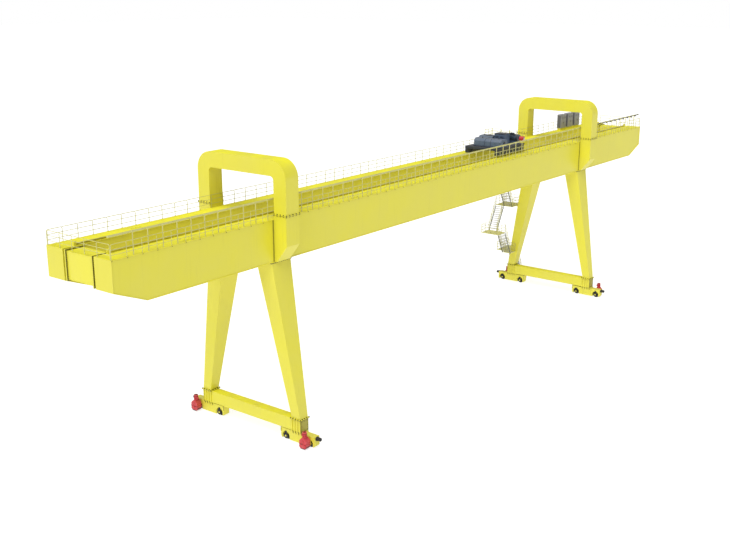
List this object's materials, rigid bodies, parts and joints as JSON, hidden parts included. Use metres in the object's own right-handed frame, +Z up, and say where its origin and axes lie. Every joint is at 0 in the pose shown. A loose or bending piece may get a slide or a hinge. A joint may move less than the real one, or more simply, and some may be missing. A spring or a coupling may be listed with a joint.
{
  "type": "1:2 scale model of a double-girder gantry crane",
  "caption": "Double-girder gantry crane on two braced portals, with a trolley on top, walkway handrails, stair tower and wheeled bogies, modelled at half size.",
  "frame": {"origin": "on the ground at mid-length, midway between the girders", "axes": "+X along the girders towards the end with the cabinets, +Y towards the stair side, +Z up"},
  "size_m": [39, 6.761, 10.6399],
  "materials": {
    "yellow_paint": "semi-gloss crane yellow",
    "slate_paint": "satin slate blue",
    "red_paint": "satin red",
    "grey_paint": "satin light grey",
    "dark_steel": "dark, machined treads",
    "rail_steel": "rolled rail with a worn head",
    "galvanised_steel": "open grating treads",
    "rubber": "matt black"
  },
  "bodies": {
    "crane_frame": {"front_girder": "yellow_paint", "rear_girder": "yellow_paint", "left_end_beam": "yellow_paint", "right_end_beam": "yellow_paint", "left_arch": "yellow_paint", "right_arch": "yellow_paint", "left_front_bracket": "yellow_paint", "left_rear_bracket": "yellow_paint", "right_front_bracket": "yellow_paint", "right_rear_bracket": "yellow_paint", "left_front_leg": "yellow_paint", "left_rear_leg": "yellow_paint", "right_front_leg": "yellow_paint", "right_rear_leg": "yellow_paint", "left_sill_beam": "yellow_paint", "right_sill_beam": "yellow_paint", "left_front_bogie_frame": "yellow_paint", "left_rear_bogie_frame": "yellow_paint", "right_front_bogie_frame": "yellow_paint", "right_rear_bogie_frame": "yellow_paint", "front_handrail": "yellow_paint", "rear_handrail": "yellow_paint", "end_handrails": "yellow_paint", "stair_platforms": "yellow_paint", "stair_handrails": "yellow_paint", "cable_track": "yellow_paint", "trolley_rails": "rail_steel", "rail_stops": "dark_steel", "buffers": "rubber", "electrical_cabinets": "grey_paint", "left_front_travel_drive": "red_paint", "left_rear_travel_drive": "red_paint", "right_front_travel_drive": "red_paint", "right_rear_travel_drive": "red_paint", "stair_stringers": "slate_paint", "stair_treads": "galvanised_steel"},
    "trolley": {"trolley_frame": "slate_paint", "trolley_wheels": "dark_steel", "hoist_drum_housing": "slate_paint", "hoist_gearbox": "slate_paint", "trolley_control_box": "slate_paint", "hoist_motor": "slate_paint", "hoist_brake": "red_paint"},
    "left_front_inner_wheel_set": {"left_front_inner_wheel": "dark_steel"},
    "left_front_outer_wheel_set": {"left_front_outer_wheel": "dark_steel"},
    "left_rear_inner_wheel_set": {"left_rear_inner_wheel": "dark_steel"},
    "left_rear_outer_wheel_set": {"left_rear_outer_wheel": "dark_steel"},
    "right_front_inner_wheel_set": {"right_front_inner_wheel": "dark_steel"},
    "right_front_outer_wheel_set": {"right_front_outer_wheel": "dark_steel"},
    "right_rear_inner_wheel_set": {"right_rear_inner_wheel": "dark_steel"},
    "right_rear_outer_wheel_set": {"right_rear_outer_wheel": "dark_steel"}
  },
  "joints": [
    {"name": "trolley_travel", "type": "slide", "parent": "crane_frame", "child": "trolley", "axis": [1, 0, 0], "range_m": [-22.9, 11.9]},
    {"name": "left_front_inner_wheel_spin", "type": "hinge", "parent": "crane_frame", "child": "left_front_inner_wheel_set", "pos_m": [-12, -1.7855, 0.162], "axis": [1, 0, 0], "continuous": true},
    {"name": "left_front_outer_wheel_spin", "type": "hinge", "parent": "crane_frame", "child": "left_front_outer_wheel_set", "pos_m": [-12, -2.9455, 0.162], "axis": [1, 0, 0], "continuous": true},
    {"name": "left_rear_inner_wheel_spin", "type": "hinge", "parent": "crane_frame", "child": "left_rear_inner_wheel_set", "pos_m": [-12, 1.7855, 0.162], "axis": [1, 0, 0], "continuous": true},
    {"name": "left_rear_outer_wheel_spin", "type": "hinge", "parent": "crane_frame", "child": "left_rear_outer_wheel_set", "pos_m": [-12, 2.9455, 0.162], "axis": [1, 0, 0], "continuous": true},
    {"name": "right_front_inner_wheel_spin", "type": "hinge", "parent": "crane_frame", "child": "right_front_inner_wheel_set", "pos_m": [12, -1.7855, 0.162], "axis": [1, 0, 0], "continuous": true},
    {"name": "right_front_outer_wheel_spin", "type": "hinge", "parent": "crane_frame", "child": "right_front_outer_wheel_set", "pos_m": [12, -2.9455, 0.162], "axis": [1, 0, 0], "continuous": true},
    {"name": "right_rear_inner_wheel_spin", "type": "hinge", "parent": "crane_frame", "child": "right_rear_inner_wheel_set", "pos_m": [12, 1.7855, 0.162], "axis": [1, 0, 0], "continuous": true},
    {"name": "right_rear_outer_wheel_spin", "type": "hinge", "parent": "crane_frame", "child": "right_rear_outer_wheel_set", "pos_m": [12, 2.9455, 0.162], "axis": [1, 0, 0], "continuous": true}
  ]
}
